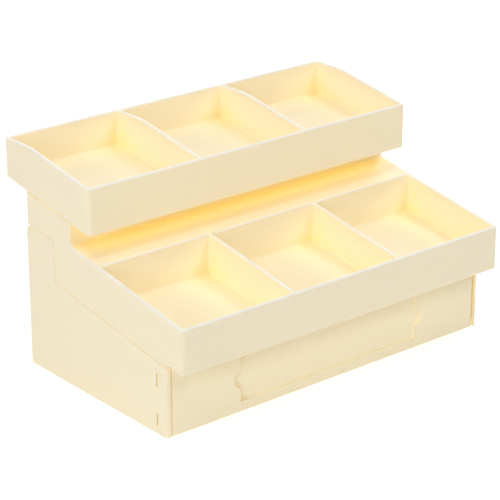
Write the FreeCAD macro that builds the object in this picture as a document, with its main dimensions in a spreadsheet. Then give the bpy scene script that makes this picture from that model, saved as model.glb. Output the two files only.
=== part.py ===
import FreeCAD, Part
import os
import re

import Sketcher

# Stepped art supply box: a panelled base, a stepped tray that closes it, and an upper tray on top.
# Millimetres. +Z up, +Y to the back, origin under the middle of the whole box.

bays = 3  # compartments side by side in each tray
slack = 0.02  # how close, in millimetres, an edge lies to the place it is picked by
parallel = 0.9999  # least cosine of an edge that runs along an axis

doc = FreeCAD.newDocument("art_supply_box")
sheet = doc.addObject("Spreadsheet::Sheet", "dims")

driving_sizes = [
    ("width", 262.0, "across the two side panels"),
    ("base_depth", 143.2, "base, front to back"),
    ("lower_overhang", 15.9, "stepped tray past the base front"),
    ("rear_overhang", 19.7, "upper tray past the base rear"),
    ("front_height", 45.9, "base at its front"),
    ("post_height", 93.3, "base at its rear post"),
    ("post_foot", 30.8, "depth of the rear post where it leaves the slope"),
    ("post_draft", 3.0, "lean of the post's front edge, degrees"),
    ("tilt", 9.75, "slope of both trays, degrees"),
    ("panel_wall", 3.3, "base panels"),
    ("panel_setback", 0.5, "front and rear panels behind the side panels' edges"),
    ("joint_gap", 1.35, "groove at each end of the front panel"),
    ("joint_depth", 1.8, "groove at each end of the front panel"),
    ("close_gap", 0.15, "clearance where a gap would show"),
    ("fit_gap", 0.3, "clearance between fitted pieces"),
    ("seat_gap", 0.3, "clearance under a tray that rests on its seat"),
    ("seam_gap", 2.8, "seam under the stepped tray"),
    ("seam_depth", 0.6, "seams, in from the outer faces"),
    ("step_gap", 1.2, "seam in front of the post"),
    ("neck_gap", 2.5, "seam over the post"),
    ("floor_wall", 2.0, "floor panel"),
    ("floor_rise", 1.5, "floor panel above the table"),
    ("groove_depth", 1.2, "panel grooves that hold the floor"),
    ("groove_gap", 0.1, "floor in its groove, above and below"),
    ("window_inset", 9.0, "snap windows behind the side panel's front edge"),
    ("window_width", 1.6, "snap window"),
    ("window_height", 9.0, "snap window"),
    ("window_low", 4.4, "bottom of the lower window"),
    ("window_drop", 5.9, "top of the upper window below the base's front edge"),
    ("hook_reach", 2.4, "snap hook into its window"),
    ("return_wall", 2.0, "end returns of the front panel"),
    ("return_depth", 9.0, "end returns, front to back"),
    ("return_drop", 4.1, "top of the end returns below the base's front edge"),
    ("recess_width", 147.2, "label recess"),
    ("recess_height", 30.0, "label recess"),
    ("recess_low", 6.5, "bottom of the label recess"),
    ("recess_depth", 1.6, "label recess"),
    ("notch_radius", 5.7, "half-round finger notches of the label recess"),
    ("notch_inset", 0.7, "notch centre inside the recess end"),
    ("tongue_depth", 1.5, "rear panel's tongues into the side panels"),
    ("tongue_root", 1.4, "tongue at the panel's end face"),
    ("tongue_tip", 2.0, "tongue at its wider tip"),
    ("rib_wall", 2.0, "seat ribs in the side panels"),
    ("rib_reach", 4.6, "seat ribs, inwards from the side panel"),
    ("rib_front", 30.0, "front seat rib behind the base front"),
    ("rib_middle", 29.4, "middle seat rib in front of the post"),
    ("rib_post", 19.2, "post seat rib in front of the base rear"),
    ("tray_wall", 2.6, "walls of both trays"),
    ("divider", 2.8, "walls between compartments"),
    ("tray_floor", 2.2, "compartment floors and deck"),
    ("floor_tilt", 8.2, "slope of the compartment floors, degrees"),
    ("floor_lift", 3.1, "compartment floors at their back, above the tray's lower edge"),
    ("tray_height", 29.6, "stepped tray's outer wall"),
    ("deck_depth", 28.9, "lower compartments' back to the riser"),
    ("neck_depth", 46.6, "neck, riser to the rear"),
    ("neck_setback", 1.5, "neck's rear in front of the base rear"),
    ("upper_overhang", 21.2, "upper tray in front of the riser"),
    ("upper_rise", 106.5, "upper tray's front bottom edge"),
    ("total_height", 147.7, "level rear part of the upper rim"),
    ("rim_level", 27.5, "level rear part of the upper rim, front to back"),
    ("rim_bend", 60.0, "radius where the upper rim turns level"),
    ("lip_wall", 2.0, "locating lips"),
    ("lip_depth", 6.0, "stepped tray's lip into the base"),
    ("lip_root", 2.0, "web that joins a lip to its wall"),
    ("upper_lip_depth", 5.0, "upper tray's lip into the neck"),
    ("corner_round", 2.4, "standing outer corners"),
    ("pocket_round", 1.8, "standing corners of the compartments"),
    ("floor_round", 1.2, "compartment floors into their walls"),
    ("rim_round", 1.1, "rims"),
    ("riser_round", 2.0, "riser's foot into the deck"),
    ("neck_bevel", 1.6, "neck's rear top edge"),
    ("edge_round", 0.8, "other outer edges"),
]
for row, (alias, size, note) in enumerate(driving_sizes, 1):
    sheet.set(f"A{row}", note)
    sheet.set(f"B{row}", str(size))
    sheet.setAlias(f"B{row}", alias)
doc.recompute()
aliases = {alias for alias, size, note in driving_sizes}

# Places along the box that follow from the driving sizes.
places = {
    "half": "width / 2",
    "base_front": "(lower_overhang - rear_overhang - base_depth) / 2",
    "base_rear": "base_front + base_depth",
    "tray_front": "base_front - lower_overhang",
    "foot": "base_rear - post_foot",
    "neck_rear": "base_rear - neck_setback",
    "riser": "neck_rear - neck_depth",
    "pocket_rear": "riser - deck_depth",
    "upper_front": "riser - upper_overhang",
    "upper_rear": "base_rear + rear_overhang",
    "front_face": "base_front + panel_setback",
    "front_inside": "front_face + panel_wall",
    "rear_face": "base_rear - panel_setback",
    "rear_inside": "rear_face - panel_wall",
    "side_inside": "half - panel_wall",
    "panel_end": "side_inside - fit_gap",
    "front_inset": "panel_wall + joint_gap",
    "stile_inset": "front_inset - close_gap",
    "front_end": "half - front_inset",
    "lip_inset": "panel_wall + fit_gap",
    "floor_top": "floor_rise + floor_wall",
    "over_floor": "floor_top + fit_gap",
    "window_front": "base_front + window_inset - window_width / 2",
    "window_rear": "window_front + window_width",
    "window_high": "front_height - window_drop - window_height",
    "return_top": "front_height - return_drop",
    "lip_front": "front_inside + fit_gap",
    "lip_rear": "rear_inside - fit_gap",
    "over_all": "total_height + tray_height",
    "neck_bottom": "post_height + neck_gap",
    "lid_step": "foot - step_gap",
    "tray_inside": "half - tray_wall",
    "collar": "tray_wall + fit_gap",
    "collar_full": "collar + lip_wall",
    "kink": "upper_rear - rim_level",
    "upper_inside": "upper_rear - tray_wall",
    "bay": f"(width - 2 * tray_wall - {bays - 1} * divider) / {bays}",
}


def seam(y):
    return f"(front_height + (({y}) - base_front) * tan(tilt))"


def lid(y):
    return f"({seam(y)} + seam_gap)"


def rim(y):
    return f"({lid(y)} + tray_height)"


def lower_floor(y):
    return f"({lid('pocket_rear')} + floor_lift + (({y}) - pocket_rear) * tan(floor_tilt))"


def under(y):
    return f"(upper_rise + (({y}) - upper_front) * tan(tilt))"


def upper_rim(y):
    return f"(total_height - (kink - ({y})) * tan(tilt))"


def upper_floor(y):
    return f"({under('upper_inside')} + floor_lift + (({y}) - upper_inside) * tan(floor_tilt))"


def expression(text):
    """The text with each place written out and each driving size named in the sheet."""
    def word(match):
        name = match.group()
        if name in places:
            return f"({expression(places[name])})"
        return f"dims.{name}" if name in aliases else name
    return re.sub(r"[a-z_]+", word, text)


def measure(text):
    return float(sheet.evalExpression(expression(text)))


def new_body(label):
    body = doc.addObject("PartDesign::Body", label)
    body.Label = label
    body.Placement = FreeCAD.Placement()
    return body


def sketch_on(body, name, role, offset):
    sketch = body.newObject("Sketcher::SketchObject", name)
    plane = next(item for item in body.Origin.OriginFeatures if item.Role == role)
    sketch.AttachmentSupport = [(plane, "")]
    sketch.MapMode = "FlatFace"
    sketch.setExpression("AttachmentOffset.Base.z", expression(offset))
    return sketch


def tie(sketch, kind, line, text):
    index = sketch.addConstraint(Sketcher.Constraint(kind, -1, 1, line, 1, measure(text)))
    sketch.setExpression(f"Constraints[{index}]", expression(text))


def draw_outline(sketch, points):
    corners = [FreeCAD.Vector(measure(across), measure(up), 0) for across, up in points]
    count = len(corners)
    for line in range(count):
        sketch.addGeometry(Part.LineSegment(corners[line], corners[(line + 1) % count]))
    for line in range(count):
        sketch.addConstraint(Sketcher.Constraint("Coincident", line, 2, (line + 1) % count, 1))
    for line, (across, up) in enumerate(points):
        tie(sketch, "DistanceX", line, across)
        tie(sketch, "DistanceY", line, up)


def extrude(body, name, sketch, length, cut):
    """Add or remove the sketch's outline over a length along the sketch's normal."""
    before = body.Shape.Volume if body.Tip else 0.0
    feature = body.newObject("PartDesign::Pocket" if cut else "PartDesign::Pad", name)
    feature.Profile = sketch
    feature.setExpression("Length", expression(length))
    feature.Reversed = cut
    doc.recompute()
    change = body.Shape.Volume - before
    if (change >= 0.0) == cut:
        raise RuntimeError(f"{body.Label}: {name} changed the volume by {change:.3f}")
    return feature


def across_x(body, name, points, start, end, cut=False):
    """A profile of (y, z) points, extruded from x = start to x = end."""
    sketch = sketch_on(body, f"{name}_outline", "YZ_Plane", start)
    draw_outline(sketch, points)
    return extrude(body, name, sketch, f"({end}) - ({start})", cut)


def up_z(body, name, points, start, end, cut=False):
    """A plan of (x, y) points, extruded from z = start to z = end."""
    sketch = sketch_on(body, f"{name}_outline", "XY_Plane", start)
    draw_outline(sketch, points)
    return extrude(body, name, sketch, f"({end}) - ({start})", cut)


def round_edges(body, name, radius, wanted):
    base = body.Tip
    names = [f"Edge{i}" for i, edge in enumerate(base.Shape.Edges, 1) if wanted(edge)]
    if not names:
        raise RuntimeError(f"{body.Label}: no edges for {name}")
    fillet = body.newObject("PartDesign::Fillet", name)
    fillet.Base = (base, names)
    fillet.setExpression("Radius", expression(radius))
    doc.recompute()


def near(value, text):
    return abs(value - measure(text)) < slack


def runs_along(edge, axis):
    step = edge.Vertexes[-1].Point - edge.Vertexes[0].Point
    return step.Length > slack and abs(step[axis]) > parallel * step.Length


def middle(edge):
    return edge.BoundBox.Center


def across_at(edge, y, z):
    """True for an edge that runs across the box at this place in y and z."""
    return runs_along(edge, 0) and near(middle(edge).y, y) and near(middle(edge).z, z)


def box_yz(front, rear, low, high):
    return [(front, low), (rear, low), (rear, high), (front, high)]


def sloped_yz(front, rear, low, high):
    return [(front, low(front)), (rear, low(rear)), (rear, high(rear)), (front, high(front))]


# Base: floor panel held in grooves of the four standing panels.

def make_floor_panel():
    body = new_body("floor_panel")
    into = "groove_depth - fit_gap"
    plan_x = f"side_inside + {into}"
    plan = [
        (f"-({plan_x})", f"front_inside - ({into})"),
        (plan_x, f"front_inside - ({into})"),
        (plan_x, f"rear_inside + {into}"),
        (f"-({plan_x})", f"rear_inside + {into}"),
    ]
    up_z(body, "plate", plan, "floor_rise", "floor_top")
    return body


def floor_groove(front, rear):
    return box_yz(front, rear, "floor_rise - groove_gap", "floor_top + groove_gap")


def side_span(side, outer, inner):
    """Start and end in x of a slice that lies between two depths in from the outer face."""
    if side < 0:
        return f"-half + {outer}", f"-half + {inner}"
    return f"half - ({inner})", f"half - ({outer})"


def make_side_panel(label, side):
    body = new_body(label)
    step = seam("foot")
    lean = f"foot + (post_height - {step}) * tan(post_draft)"
    outline = [
        ("base_front", "0"),
        ("base_rear", "0"),
        ("base_rear", "post_height"),
        (lean, "post_height"),
        ("foot", step),
        ("base_front", "front_height"),
    ]
    across_x(body, "sheet", outline, *side_span(side, "0", "panel_wall"))
    stile = sloped_yz("base_front + joint_depth", "front_inside", lambda y: "0", seam)
    across_x(body, "stile", stile, *side_span(side, "panel_wall / 2", "stile_inset"))
    outer_x = f"{side} * half"
    standing = ("base_front", "base_rear")
    round_edges(body, "outer_corners", "corner_round", lambda edge: runs_along(edge, 2)
                and near(middle(edge).x, outer_x) and any(near(middle(edge).y, y) for y in standing))
    round_edges(body, "outer_top", "edge_round", lambda edge: near(middle(edge).x, outer_x)
                and not runs_along(edge, 2) and middle(edge).z > measure("front_height"))

    groove = floor_groove("front_inside - groove_depth", "rear_inside + groove_depth")
    across_x(body, "floor_groove", groove,
             *side_span(side, "panel_wall - groove_depth", "stile_inset"), cut=True)

    for name, low in (("lower_window", "window_low"), ("upper_window", "window_high")):
        slot = box_yz("window_front", "window_rear", low, f"{low} + window_height")
        across_x(body, name, slot, *side_span(side, "0", "panel_wall"), cut=True)

    tongue = rear_tongue(side, "side_inside", "fit_gap / 2")
    up_z(body, "rear_groove", tongue, "over_floor", "post_height", cut=True)

    ribs = (
        ("front_rib", "base_front + rib_front", lambda y: f"{lid(y)} - lip_depth - seat_gap"),
        ("middle_rib", "foot - rib_middle", lambda y: f"{lid(y)} - lip_depth - seat_gap"),
        ("post_rib", "base_rear - rib_post", lambda y: "neck_bottom - lip_depth - seat_gap"),
    )
    for name, place, top in ribs:
        rib = sloped_yz(f"{place} - rib_wall / 2", f"{place} + rib_wall / 2", lambda y: "over_floor", top)
        across_x(body, name, rib, *side_span(side, "panel_wall / 2", "panel_wall + rib_reach"))
    return body


def rear_tongue(side, start, play):
    """Plan of the dovetail between the rear panel and a side panel, grown by the play for its groove."""
    centre = "(rear_face + rear_inside) / 2"
    root = f"{side} * {start}"
    tip = f"{side} * (side_inside + tongue_depth + {play})"
    return [
        (root, f"{centre} - tongue_root / 2 - {play}"),
        (tip, f"{centre} - tongue_tip / 2 - {play}"),
        (tip, f"{centre} + tongue_tip / 2 + {play}"),
        (root, f"{centre} + tongue_root / 2 + {play}"),
    ]


def make_rear_panel():
    body = new_body("rear_panel")
    plate = box_yz("rear_inside", "rear_face", "0", "post_height")
    across_x(body, "plate", plate, "-panel_end", "panel_end")
    for name, side in (("left_tongue", -1), ("right_tongue", 1)):
        up_z(body, name, rear_tongue(side, "panel_end", "0"), "over_floor + fit_gap", "post_height")
    groove = floor_groove("rear_inside", "rear_inside + groove_depth")
    across_x(body, "floor_groove", groove, "-panel_end", "panel_end", cut=True)
    round_edges(body, "rear_edges", "edge_round", lambda edge: near(middle(edge).y, "rear_face")
                and not near(middle(edge).z, "0"))
    return body


def make_front_panel():
    body = new_body("front_panel")
    plate = box_yz("front_face", "front_inside", "0", "front_height")
    across_x(body, "plate", plate, "-front_end", "front_end")
    round_edges(body, "front_edges", "edge_round", lambda edge: near(middle(edge).y, "front_face")
                and not near(middle(edge).z, "0"))

    recess = sketch_on(body, "recess_outline", "XZ_Plane", "-(front_face + recess_depth)")
    half_recess = "recess_width / 2"
    draw_outline(recess, [(f"-{half_recess}", "recess_low"), (half_recess, "recess_low"),
                          (half_recess, "recess_low + recess_height"),
                          (f"-{half_recess}", "recess_low + recess_height")])
    extrude(body, "recess", recess, "recess_depth", cut=True)
    for name, side in (("left_notch", -1), ("right_notch", 1)):
        notch = sketch_on(body, f"{name}_outline", "XZ_Plane", "-(front_face + recess_depth)")
        centre_x = f"{side} * (recess_width / 2 - notch_inset)"
        centre_z = "recess_low + recess_height / 2"
        centre = FreeCAD.Vector(measure(centre_x), measure(centre_z), 0)
        notch.addGeometry(Part.Circle(centre, FreeCAD.Vector(0, 0, 1), measure("notch_radius")))
        for kind, text in (("DistanceX", centre_x), ("DistanceY", centre_z)):
            index = notch.addConstraint(Sketcher.Constraint(kind, -1, 1, 0, 3, measure(text)))
            notch.setExpression(f"Constraints[{index}]", expression(text))
        index = notch.addConstraint(Sketcher.Constraint("Radius", 0, measure("notch_radius")))
        notch.setExpression(f"Constraints[{index}]", expression("notch_radius"))
        extrude(body, name, notch, "recess_depth", cut=True)

    groove = floor_groove("front_inside - groove_depth", "front_inside")
    across_x(body, "floor_groove", groove, "-front_end", "front_end", cut=True)

    for name, side in (("left", -1), ("right", 1)):
        flange = box_yz("front_inside - panel_wall / 2", "front_inside + return_depth",
                        "over_floor", "return_top")
        across_x(body, f"{name}_return", flange,
                 *side_span(side, "front_inset", "front_inset + return_wall"))
        root = f"{side} * (front_end - return_wall / 2)"
        tip = f"{side} * (side_inside + hook_reach)"
        hook = [
            (root, "window_front + close_gap"),
            (tip, "window_front + close_gap"),
            (tip, "window_rear - close_gap"),
            (root, "window_rear - close_gap"),
        ]
        for level, low in (("lower", "window_low"), ("upper", "window_high")):
            up_z(body, f"{name}_{level}_hook", hook,
                 f"{low} + close_gap", f"{low} + window_height - close_gap")
    return body


# Trays: three open compartments each, cut into a profile that runs the whole width.

def bay_start(index):
    return f"-tray_inside + {index} * (bay + divider)"


def cut_compartments(body, front, rear, floor):
    for index in range(bays):
        start = bay_start(index)
        across_x(body, f"compartment_{index + 1}", sloped_yz(front, rear, floor, lambda y: "over_all"),
                 start, f"{start} + bay", cut=True)


def round_compartments(body, front, rear, floor, top):
    """Rounds the compartments' standing corners, then the loops at their floors and at their rims.

    Each loop is picked by its front edge, and the rounding runs on along the edges tangent to it.
    """
    walls = [bay_start(index) + end for index in range(bays) for end in ("", " + bay")]
    round_edges(body, "pocket_corners", "pocket_round", lambda edge: runs_along(edge, 2)
                and any(near(middle(edge).y, y) for y in (front, rear))
                and any(near(middle(edge).x, x) for x in walls)
                and middle(edge).z > measure(floor(front)))
    round_edges(body, "pocket_floors", "floor_round", lambda edge: across_at(edge, front, floor(front)))
    round_edges(body, "pocket_rims", "rim_round", lambda edge: across_at(edge, front, top(front)))


def make_stepped_tray():
    body = new_body("stepped_tray")
    step_top = f"lid_step + (neck_bottom - {lid('lid_step')}) * tan(post_draft)"
    outline = [
        ("tray_front", lid("tray_front")),
        ("lid_step", lid("lid_step")),
        (step_top, "neck_bottom"),
        ("neck_rear", "neck_bottom"),
        ("neck_rear", f"{under('neck_rear')} - seat_gap - neck_bevel"),
        ("neck_rear - neck_bevel", f"{under('neck_rear - neck_bevel')} - seat_gap"),
        ("riser", f"{under('riser')} - seat_gap"),
        ("riser", rim("riser")),
        ("tray_front", rim("tray_front")),
    ]
    across_x(body, "outer_form", outline, "-half", "half")
    round_edges(body, "riser_foot", "riser_round", lambda edge: across_at(edge, "riser", rim("riser")))
    round_edges(body, "outer_corners", "corner_round", lambda edge: runs_along(edge, 2)
                and any(near(middle(edge).y, y) for y in ("tray_front", "neck_rear")))
    round_edges(body, "outer_rim", "rim_round",
                lambda edge: across_at(edge, "tray_front", rim("tray_front")))
    round_edges(body, "outer_bottom", "edge_round",
                lambda edge: across_at(edge, "tray_front", lid("tray_front")))

    inside_front = "tray_front + tray_wall"
    behind = "pocket_rear + tray_wall"
    behind_riser = "riser + tray_wall"
    inside_rear = "neck_rear - tray_wall"
    hollow = [
        (inside_front, "0"),
        (inside_rear, "0"),
        (inside_rear, "over_all"),
        (behind_riser, "over_all"),
        (behind_riser, f"{rim(behind_riser)} - tray_floor"),
        (behind, f"{rim(behind)} - tray_floor"),
        (behind, f"{lower_floor(behind)} - tray_floor"),
        (inside_front, f"{lower_floor(inside_front)} - tray_floor"),
    ]
    across_x(body, "hollow", hollow, "-tray_inside", "tray_inside", cut=True)

    def lip_bottom(y):
        return f"{lid(y)} - lip_depth"

    def root_low(y):
        return f"{seam(y)} + close_gap"

    def root_top(y):
        return f"{lid(y)} + lip_root"

    root_front = "base_front + seam_depth"
    lip_end = "lid_step - lip_wall"
    neck_front = f"{step_top} + lip_wall"
    neck_low = "neck_bottom - lip_depth"
    neck_root_low = "post_height + close_gap"
    neck_root = "neck_bottom + lip_root"
    step_filler = [
        ("lid_step - tray_wall", root_low("lid_step - tray_wall")),
        ("foot - close_gap", root_low("foot - close_gap")),
        (f"{step_top} + step_gap - close_gap", "neck_bottom"),
        (f"{step_top} + step_gap - close_gap", neck_root),
        (f"{step_top} - tray_wall", neck_root),
    ]
    for name, side in (("left", -1), ("right", 1)):
        lip = side_span(side, "lip_inset", "lip_inset + lip_wall")
        root = side_span(side, "seam_depth", "lip_inset + lip_wall")
        across_x(body, f"{name}_lip_root", sloped_yz(root_front, "lid_step", root_low, root_top), *root)
        across_x(body, f"{name}_lip", sloped_yz("lip_front", lip_end, lip_bottom, root_top), *lip)
        across_x(body, f"{name}_step_root", step_filler, *side_span(side, "seam_depth", "panel_wall"))
        across_x(body, f"{name}_neck_root", box_yz(step_top, "lip_rear", neck_root_low, neck_root), *root)
        across_x(body, f"{name}_neck_lip", box_yz(neck_front, "lip_rear", neck_low, neck_root), *lip)
    across_x(body, "rear_lip_root", box_yz("lip_rear - lip_wall", "neck_rear - seam_depth",
                                           neck_root_low, neck_root), "-tray_inside", "tray_inside")
    across_x(body, "rear_lip", box_yz("lip_rear - lip_wall", "lip_rear", neck_low, neck_root),
             "-panel_end", "panel_end")

    def into_floor(y):
        return f"{lower_floor(y)} - tray_floor / 2"

    across_x(body, "front_lip", sloped_yz("lip_front", "lip_front + lip_wall", lip_bottom, into_floor),
             "-panel_end", "panel_end")

    cut_compartments(body, inside_front, "pocket_rear", lower_floor)
    round_compartments(body, inside_front, "pocket_rear", lower_floor, rim)
    return body


def make_upper_tray():
    body = new_body("upper_tray")
    outline = [
        ("upper_front", under("upper_front")),
        ("upper_rear", under("upper_rear")),
        ("upper_rear", "total_height"),
        ("kink", "total_height"),
        ("upper_front", upper_rim("upper_front")),
    ]
    across_x(body, "outer_form", outline, "-half", "half")
    round_edges(body, "rim_turn", "rim_bend", lambda edge: across_at(edge, "kink", "total_height"))
    round_edges(body, "outer_corners", "corner_round", lambda edge: runs_along(edge, 2))
    round_edges(body, "outer_rim", "rim_round",
                lambda edge: across_at(edge, "upper_front", upper_rim("upper_front")))
    round_edges(body, "outer_bottom", "edge_round",
                lambda edge: across_at(edge, "upper_front", under("upper_front")))

    inside_front = "upper_front + tray_wall"
    inside_half = "half - tray_wall / 2"

    def floor_under(y):
        return f"{upper_floor(y)} - tray_floor"

    across_x(body, "hollow", sloped_yz(inside_front, "upper_inside", lambda y: "0", floor_under),
             "-tray_inside", "tray_inside", cut=True)

    def into_floor(y):
        return f"{upper_floor(y)} - tray_floor / 2"

    def lip_bottom(y):
        return f"{under(y)} - upper_lip_depth"

    lip_half = "half - collar"
    lip_start, lip_end = "riser + collar", "neck_rear - collar"
    ring_start, ring_end = "riser + collar_full", "neck_rear - collar_full"
    across_x(body, "front_seat", sloped_yz("riser", ring_start, under, into_floor),
             f"-({inside_half})", inside_half)
    across_x(body, "rear_seat", sloped_yz(ring_end, "neck_rear", under, into_floor),
             f"-({inside_half})", inside_half)
    across_x(body, "front_lip", sloped_yz(lip_start, ring_start, lip_bottom, into_floor),
             f"-({lip_half})", lip_half)
    across_x(body, "rear_lip", sloped_yz(ring_end, lip_end, lip_bottom, into_floor),
             f"-({lip_half})", lip_half)
    for name, side in (("left", -1), ("right", 1)):
        across_x(body, f"{name}_seat", sloped_yz("riser", "neck_rear", under, into_floor),
                 *side_span(side, "tray_wall / 2", "collar_full"))
        across_x(body, f"{name}_lip", sloped_yz(lip_start, lip_end, lip_bottom, into_floor),
                 *side_span(side, "collar", "collar_full"))

    cut_compartments(body, inside_front, "upper_inside", upper_floor)
    round_compartments(body, inside_front, "upper_inside", upper_floor, upper_rim)
    return body


pieces = [
    make_floor_panel(),
    make_side_panel("left_side_panel", -1),
    make_side_panel("right_side_panel", 1),
    make_front_panel(),
    make_rear_panel(),
    make_stepped_tray(),
    make_upper_tray(),
]
doc.recompute()

for item in doc.Objects:
    if "Invalid" in item.State or "Error" in item.State:
        raise RuntimeError(f"{item.Label} failed: {item.State}")
for piece in pieces:
    if piece.Shape.isNull() or not piece.Shape.isValid() or len(piece.Shape.Solids) != 1:
        raise RuntimeError(f"{piece.Label} is not one valid solid")

os.makedirs("parts", exist_ok=True)
for piece in pieces:
    piece.Shape.exportStep(f"parts/{piece.Label}.step")
    box = piece.Shape.BoundBox
    print(f"{piece.Label}: {piece.Shape.Volume / 1000:.1f} cm3,"
          f" x {box.XMin:.1f} to {box.XMax:.1f}, y {box.YMin:.1f} to {box.YMax:.1f},"
          f" z {box.ZMin:.1f} to {box.ZMax:.1f}")
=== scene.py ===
import math

import bmesh
import bpy
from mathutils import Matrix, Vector

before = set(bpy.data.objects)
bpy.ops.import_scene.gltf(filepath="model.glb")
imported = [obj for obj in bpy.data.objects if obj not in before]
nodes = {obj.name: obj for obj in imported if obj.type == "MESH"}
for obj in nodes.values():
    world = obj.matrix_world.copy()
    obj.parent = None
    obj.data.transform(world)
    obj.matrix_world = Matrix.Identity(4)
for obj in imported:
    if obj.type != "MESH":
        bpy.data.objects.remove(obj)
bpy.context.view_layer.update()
scene = bpy.context.scene
scene.view_settings.view_transform = "Standard"
print("frame loaded:", ", ".join(sorted(nodes)))


# helpers for node trees

mixShare, mixFrom, mixTo, mixResult = 0, 6, 7, 2  # the colour sockets of a Mix node


def addNode(tree, kind, settings=None, values=None, links=None):
    node = tree.nodes.new(kind)
    for key, value in (settings or {}).items():
        setattr(node, key, value)
    for key, value in (values or {}).items():
        node.inputs[key].default_value = value
    for key, socket in (links or {}).items():
        tree.links.new(socket, node.inputs[key])
    return node


def reckon(tree, operation, first, second, clamp=False):
    # first is a socket, second a socket or a plain number
    node = addNode(tree, "ShaderNodeMath", {"operation": operation, "use_clamp": clamp}, links={0: first})
    if isinstance(second, float):
        node.inputs[1].default_value = second
    else:
        tree.links.new(second, node.inputs[1])
    return node.outputs[0]


def easeBetween(tree, value, none, full):
    # 0 at none, 1 at full, with soft ends
    return addNode(tree, "ShaderNodeMapRange", {"interpolation_type": "SMOOTHSTEP"},
                   links={"Value": value, "From Min": none, "From Max": full}).outputs["Result"]


def tintBy(tree, colour, tint, mask):
    return addNode(tree, "ShaderNodeMix", {"data_type": "RGBA"}, {mixTo: (*tint, 1.0)},
                   {mixShare: mask, mixFrom: colour}).outputs[mixResult]


def startMaterial(name):
    material = bpy.data.materials.new(name)
    material.use_nodes = True
    tree = material.node_tree
    tree.nodes.clear()
    return material, tree, tree.nodes.new("ShaderNodeOutputMaterial")


# shared effects, one shader node group each

occlusionSamples = 6


def startGroup(name, inputs, output):
    # an input with no number of its own is a place
    tree = bpy.data.node_groups.new(name, "ShaderNodeTree")
    for label, value in inputs.items():
        kind = "NodeSocketVector" if value is None else "NodeSocketFloat"
        socket = tree.interface.new_socket(name=label, in_out="INPUT", socket_type=kind)
        if value is not None:
            socket.default_value = value
    tree.interface.new_socket(name=output, in_out="OUTPUT", socket_type="NodeSocketFloat")
    return tree, tree.nodes.new("NodeGroupInput"), tree.nodes.new("NodeGroupOutput")


def makeMottleGroup():
    # slow drift of the pigment in a moulding, centred on zero
    tree, entry, leave = startGroup("pigmentMottle", {"Vector": None, "Scale": 18.0, "Amount": 0.02}, "Shift")
    drift = addNode(tree, "ShaderNodeTexNoise", values={"Detail": 3.0, "Roughness": 0.55},
                    links={"Vector": entry.outputs["Vector"], "Scale": entry.outputs["Scale"]})
    centred = reckon(tree, "SUBTRACT", drift.outputs["Fac"], 0.5)
    tree.links.new(reckon(tree, "MULTIPLY", centred, entry.outputs["Amount"]), leave.inputs["Shift"])
    return tree


def makeGrainGroup():
    # eroded mould texture: fine grains on a slow waviness
    tree, entry, leave = startGroup(
        "mouldGrain",
        {"Vector": None, "Grain Scale": 1400.0, "Wave Scale": 60.0, "Wave Share": 0.5}, "Height")
    grain = addNode(tree, "ShaderNodeTexNoise", values={"Detail": 2.0, "Roughness": 0.6},
                    links={"Vector": entry.outputs["Vector"], "Scale": entry.outputs["Grain Scale"]})
    wave = addNode(tree, "ShaderNodeTexNoise", values={"Detail": 1.0, "Roughness": 0.5},
                   links={"Vector": entry.outputs["Vector"], "Scale": entry.outputs["Wave Scale"]})
    swell = reckon(tree, "MULTIPLY", wave.outputs["Fac"], entry.outputs["Wave Share"])
    tree.links.new(reckon(tree, "ADD", grain.outputs["Fac"], swell), leave.inputs["Height"])
    return tree


def makeHollowGroup():
    # occlusion mask for painted shade and painted light in hollows and creases: 0 on open faces, rising to 1
    # where the plastic shuts itself in
    tree, entry, leave = startGroup("hollowMask", {"Reach": 0.03, "Open": 0.8, "Deep": 0.2}, "Mask")
    sky = addNode(tree, "ShaderNodeAmbientOcclusion", {"samples": occlusionSamples},
                  links={"Distance": entry.outputs["Reach"]})
    mask = easeBetween(tree, sky.outputs["AO"], entry.outputs["Open"], entry.outputs["Deep"])
    tree.links.new(mask, leave.inputs["Mask"])
    return tree


def makeEdgeGroup():
    # 1 along rims that face upwards, where little plastic lies behind the surface; it places the painted
    # highlight on the rims
    tree, entry, leave = startGroup(
        "edgeMask",
        {"Reach": 0.0016, "Solid": 0.99, "Thin": 0.7, "Rise None": -0.25, "Rise Full": 0.0}, "Mask")
    backing = addNode(tree, "ShaderNodeAmbientOcclusion",
                      {"samples": occlusionSamples, "inside": True, "only_local": True},
                      links={"Distance": entry.outputs["Reach"]})
    thin = easeBetween(tree, backing.outputs["AO"], entry.outputs["Solid"], entry.outputs["Thin"])
    surface = tree.nodes.new("ShaderNodeNewGeometry")
    facing = addNode(tree, "ShaderNodeSeparateXYZ", links={"Vector": surface.outputs["Normal"]})
    rising = easeBetween(tree, facing.outputs["Z"], entry.outputs["Rise None"], entry.outputs["Rise Full"])
    tree.links.new(reckon(tree, "MULTIPLY", thin, rising), leave.inputs["Mask"])
    return tree


def placeGroup(tree, group, values, links=None):
    return addNode(tree, "ShaderNodeGroup", {"node_tree": group}, values, links)


pigmentMottle = makeMottleGroup()
mouldGrain = makeGrainGroup()
hollowMask = makeHollowGroup()
edgeMask = makeEdgeGroup()
effects = (pigmentMottle, mouldGrain, hollowMask, edgeMask)
print("shared effects ready:", ", ".join(effect.name for effect in effects))


# cream moulded plastic, one material for each piece

def fadeAlong(tree, place, mask, axis, none, full):
    # keeps the mask on one stretch of the piece, along one of its axes
    along = addNode(tree, "ShaderNodeSeparateXYZ", links={"Vector": place.outputs["Object"]})
    ramp = addNode(tree, "ShaderNodeMapRange", values={"From Min": none, "From Max": full},
                   links={"Value": along.outputs[axis]})
    return reckon(tree, "MULTIPLY", mask, ramp.outputs["Result"])


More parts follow.
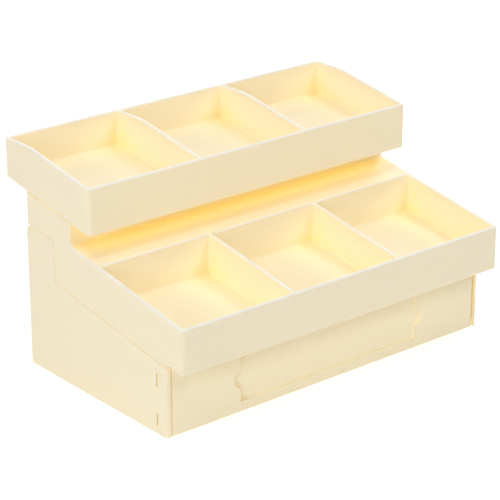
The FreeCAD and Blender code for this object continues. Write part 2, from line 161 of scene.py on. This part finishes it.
def creamColour(tree, place, look):
    cream = tree.nodes.new("ShaderNodeRGB")
    cream.outputs[0].default_value = (*look["cream"], 1.0)
    colour = cream.outputs[0]
    # painted light and shade in creases: a yellow glow in seams, darker still in the deepest slits; on the
    # front panel a painted shadow
    if "crease" in look:
        depth = placeGroup(tree, hollowMask, look["crease"]).outputs["Mask"]
        for axis, none, full in look["fades"]:
            depth = fadeAlong(tree, place, depth, axis, none, full)
        steep = reckon(tree, "POWER", depth, look["tanPower"])
        colour = tintBy(tree, colour, look["straw"], depth)
        colour = tintBy(tree, colour, look["tan"], steep)
    # painted highlight: upward rims turned pale ivory
    if "edge" in look:
        edge = placeGroup(tree, edgeMask, look["edge"])
        paling = reckon(tree, "MULTIPLY", edge.outputs["Mask"], look["paling"])
        colour = tintBy(tree, colour, look["ivory"], paling)
    # painted shade: a warm amber where hollows shut out the light
    if "hollow" in look:
        hollow = placeGroup(tree, hollowMask, look["hollow"])
        colour = tintBy(tree, colour, look["amber"], hollow.outputs["Mask"])
    return colour


def topUpHollows(tree, plastic, look):
    # painted light: the plastic glows on rays that have bounced more than deepBounces times, topping up the
    # light that has bounced about a hollow, as it is in translucent plastic
    path = tree.nodes.new("ShaderNodeLightPath")
    deep = reckon(tree, "GREATER_THAN", path.outputs["Diffuse Depth"], look["deepBounces"])
    plastic.inputs["Emission Color"].default_value = (*look["deepTint"], 1.0)
    tree.links.new(reckon(tree, "MULTIPLY", deep, look["deepGlow"]), plastic.inputs["Emission Strength"])


def creamPlastic(name, look):
    material, tree, output = startMaterial(name)
    plastic = addNode(tree, "ShaderNodeBsdfPrincipled", values={
        "IOR": look["bend"], "Specular IOR Level": look["gloss"], "Subsurface Weight": look["glow"],
        "Subsurface Radius": look["glowSpread"], "Subsurface Scale": look["glowDepth"]})
    tree.links.new(plastic.outputs["BSDF"], output.inputs["Surface"])
    topUpHollows(tree, plastic, look)

    place = tree.nodes.new("ShaderNodeTexCoord")
    shifted = addNode(tree, "ShaderNodeMapping", values={"Location": look["offset"]},
                      links={"Vector": place.outputs["Object"]})
    where = {"Vector": shifted.outputs["Vector"]}

    mottle = placeGroup(tree, pigmentMottle, {"Scale": look["mottleScale"], "Amount": look["mottle"]}, where)
    tone = addNode(tree, "ShaderNodeVectorMath", {"operation": "SCALE"},
                   links={0: creamColour(tree, place, look),
                          "Scale": reckon(tree, "ADD", mottle.outputs["Shift"], 1.0)})
    tree.links.new(tone.outputs["Vector"], plastic.inputs["Base Color"])

    smear = placeGroup(tree, pigmentMottle, {"Scale": look["smearScale"], "Amount": look["smear"]}, where)
    rough = reckon(tree, "ADD", smear.outputs["Shift"], look["rough"], clamp=True)
    tree.links.new(rough, plastic.inputs["Roughness"])

    grain = placeGroup(tree, mouldGrain, {"Grain Scale": look["grainScale"], "Wave Scale": look["waveScale"],
                                          "Wave Share": look["waveShare"]}, where)
    bump = addNode(tree, "ShaderNodeBump", links={"Height": grain.outputs["Height"]},
                   values={"Strength": look["grain"], "Distance": look["grainHeight"]})
    tree.links.new(bump.outputs["Normal"], plastic.inputs["Normal"])
    return material


plainLook = {
    "cream": (0.97, 0.865, 0.635), "bend": 1.5, "gloss": 0.4,
    "glow": 0.1, "glowSpread": (1.0, 0.8, 0.6), "glowDepth": 0.001,
    "deepGlow": 0.3, "deepBounces": 1.5, "deepTint": (1.0, 1.0, 1.0),
    "mottle": 0.03, "mottleScale": 16.0,
    "rough": 0.42, "smear": 0.08, "smearScale": 36.8,
    "grain": 0.25, "grainHeight": 0.0001, "grainScale": 1500.0, "waveScale": 55.0, "waveShare": 0.6,
}
# side panels: a painted yellow glow in the seams and painted shade deep in them, but not where the panel
# meets the table
sideLook = dict(plainLook, straw=(1.0, 0.93, 0.53), tan=(0.82, 0.68, 0.42), tanPower=3.0,
                crease={"Reach": 0.004, "Open": 0.97, "Deep": 0.4}, fades=[("Z", 0.001, 0.006)])
# front panel: a faint painted shadow along the left edge of the label recess only
frontLook = dict(plainLook, straw=(0.88, 0.73, 0.43), tan=(0.88, 0.73, 0.43), tanPower=3.0,
                 crease={"Reach": 0.004, "Open": 0.95, "Deep": 0.82},
                 fades=[("Z", 0.004, 0.006), ("X", -0.066, -0.07), ("X", -0.09, -0.086)])
# trays: painted amber shade in the compartments and under overhangs, and a painted highlight on the upward
# rims
trayLook = dict(plainLook, rough=0.4, mottleScale=13.0, smearScale=29.9,
                amber=(1.0, 0.82, 0.38), hollow={"Reach": 0.03, "Open": 0.62, "Deep": 0.15},
                ivory=(0.88, 0.9, 0.91), paling=0.9,
                edge={"Reach": 0.0019, "Rise None": -0.02, "Rise Full": 0.12})

floorPanel = {"node": "floor_panel", "look": dict(plainLook, offset=(0.31, 0.0, 0.07))}
leftPanel = {"node": "left_side_panel", "look": dict(sideLook, offset=(0.0, 0.42, 0.0))}
rightPanel = {"node": "right_side_panel", "look": dict(sideLook, offset=(0.12, 0.0, 0.55))}
frontPanel = {"node": "front_panel", "look": dict(frontLook, offset=(0.0, 0.2, 0.33))}
rearPanel = {"node": "rear_panel", "look": dict(plainLook, offset=(0.63, 0.1, 0.0))}
steppedTray = {"node": "stepped_tray", "look": dict(trayLook, offset=(0.05, 0.0, 0.9))}
upperTray = {"node": "upper_tray", "look": dict(trayLook, offset=(0.4, 0.8, 0.0))}

pieces = (floorPanel, leftPanel, rightPanel, frontPanel, rearPanel, steppedTray, upperTray)
for piece in pieces:
    node = nodes[piece["node"]]
    node.data.materials[0] = creamPlastic(piece["node"] + "_plastic", piece["look"])
print("cream plastic on", len(pieces), "pieces")


# studio: pale floor, white surround, soft lamps

studio = {
    "floorSize": 6.0, "floorColour": (0.95, 0.95, 0.95),
    "floorLift": (0.38, 1.0), "floorFade": (0.5, 1.6),  # brightness near and far, and how far off each is
    "ambient": (0.03, 0.03, 0.03), "surround": (1.0, 1.0, 1.0),
    "lampAim": (0.0, 0.0, 0.07),
    "lamps": {
        "leftFront": {"at": (-1.3, -0.55, 0.5), "size": 0.4, "power": 5.7},
        "leftTop": {"at": (-0.6, -0.1, 1.4), "size": 0.5, "power": 4.0},
        "leftBack": {"at": (-1.2, 0.5, 0.8), "size": 1.0, "power": 3.0},
        "keyFront": {"at": (0.53, -1.0, 1.0), "size": 0.5, "power": 5.6},
        "keyTop": {"at": (0.55, -0.05, 1.45), "size": 0.35, "power": 1.4},
        "skyTop": {"at": (0.0, 0.0, 1.6), "size": 1.4, "power": 4.8},
        "frontFill": {"at": (-0.2, -1.4, 0.4), "size": 0.6, "power": 1.8},
        "rightFill": {"at": (1.3, 0.55, 0.7), "size": 1.0, "power": 5.5},
        "backFill": {"at": (0.2, 1.2, 0.9), "size": 1.0, "power": 4.6},
    },
}


def seenDirectly(tree):
    # 1 where the camera, a reflection or glass looks straight at it
    path = tree.nodes.new("ShaderNodeLightPath")
    either = reckon(tree, "MAXIMUM", path.outputs["Is Camera Ray"], path.outputs["Is Glossy Ray"])
    return reckon(tree, "MAXIMUM", either, path.outputs["Is Transmission Ray"])


def makeFloor():
    shape = bmesh.new()
    bmesh.ops.create_grid(shape, x_segments=1, y_segments=1, size=studio["floorSize"] / 2)
    mesh = bpy.data.meshes.new("paleFloor")
    shape.to_mesh(mesh)
    shape.free()
    floor = bpy.data.objects.new("paleFloor", mesh)
    scene.collection.objects.link(floor)

    # the floor keeps the shadow near the object and goes white away from it
    material, tree, output = startMaterial("paleFloor")
    paper = addNode(tree, "ShaderNodeBsdfDiffuse", values={"Color": (*studio["floorColour"], 1.0)})
    place = tree.nodes.new("ShaderNodeTexCoord")
    away = addNode(tree, "ShaderNodeVectorMath", {"operation": "LENGTH"}, links={0: place.outputs["Object"]})
    near, far = studio["floorFade"]
    nearLift, farLift = studio["floorLift"]
    fade = addNode(tree, "ShaderNodeMapRange", links={"Value": away.outputs["Value"]},
                   values={"From Min": near, "From Max": far, "To Min": nearLift, "To Max": farLift})
    shown = reckon(tree, "MULTIPLY", fade.outputs["Result"], seenDirectly(tree))
    lift = addNode(tree, "ShaderNodeEmission", links={"Strength": shown})
    both = addNode(tree, "ShaderNodeAddShader", links={0: paper.outputs[0], 1: lift.outputs[0]})
    tree.links.new(both.outputs[0], output.inputs["Surface"])
    mesh.materials.append(material)


def makeWorld():
    world = bpy.data.worlds.new("whiteSurround")
    scene.world = world
    world.use_nodes = True
    tree = world.node_tree
    tree.nodes.clear()
    output = tree.nodes.new("ShaderNodeOutputWorld")
    colour = addNode(tree, "ShaderNodeMix", {"data_type": "RGBA"},
                     {mixFrom: (*studio["ambient"], 1.0), mixTo: (*studio["surround"], 1.0)},
                     {mixShare: seenDirectly(tree)})
    glow = addNode(tree, "ShaderNodeBackground", values={"Strength": 1.0},
                   links={"Color": colour.outputs[mixResult]})
    tree.links.new(glow.outputs[0], output.inputs["Surface"])


def hangLamp(name, lamp):
    light = bpy.data.lights.new(name, "AREA")
    light.shape = "SQUARE"
    light.size = lamp["size"]
    light.energy = lamp["power"]
    holder = bpy.data.objects.new(name, light)
    holder.location = lamp["at"]
    beam = Vector(studio["lampAim"]) - Vector(lamp["at"])
    holder.rotation_euler = beam.to_track_quat("-Z", "Y").to_euler()
    scene.collection.objects.link(holder)


makeFloor()
makeWorld()
for name, lamp in studio["lamps"].items():
    hangLamp(name, lamp)
print("studio lit by", ", ".join(studio["lamps"]))


# camera at the photograph's viewing angle, fitted to the box's corners

eye = {"at": (-0.7912, -0.9394, 0.5568), "azimuth": -39.92, "elevation": 21.818,
       "lens": 147.16, "sensor": 36.0, "clip": (0.05, 20.0)}


def makeCamera():
    data = bpy.data.cameras.new("photoView")
    data.sensor_width = eye["sensor"]
    data.sensor_fit = "HORIZONTAL"
    data.lens = eye["lens"]
    data.clip_start, data.clip_end = eye["clip"]
    holder = bpy.data.objects.new("photoView", data)
    turn, rise = math.radians(eye["azimuth"]), math.radians(eye["elevation"])
    back = Vector((math.sin(turn) * math.cos(rise), -math.cos(turn) * math.cos(rise), math.sin(rise)))
    holder.location = eye["at"]
    holder.rotation_euler = (-back).to_track_quat("-Z", "Y").to_euler()
    scene.collection.objects.link(holder)
    scene.camera = holder


makeCamera()
print("camera set")
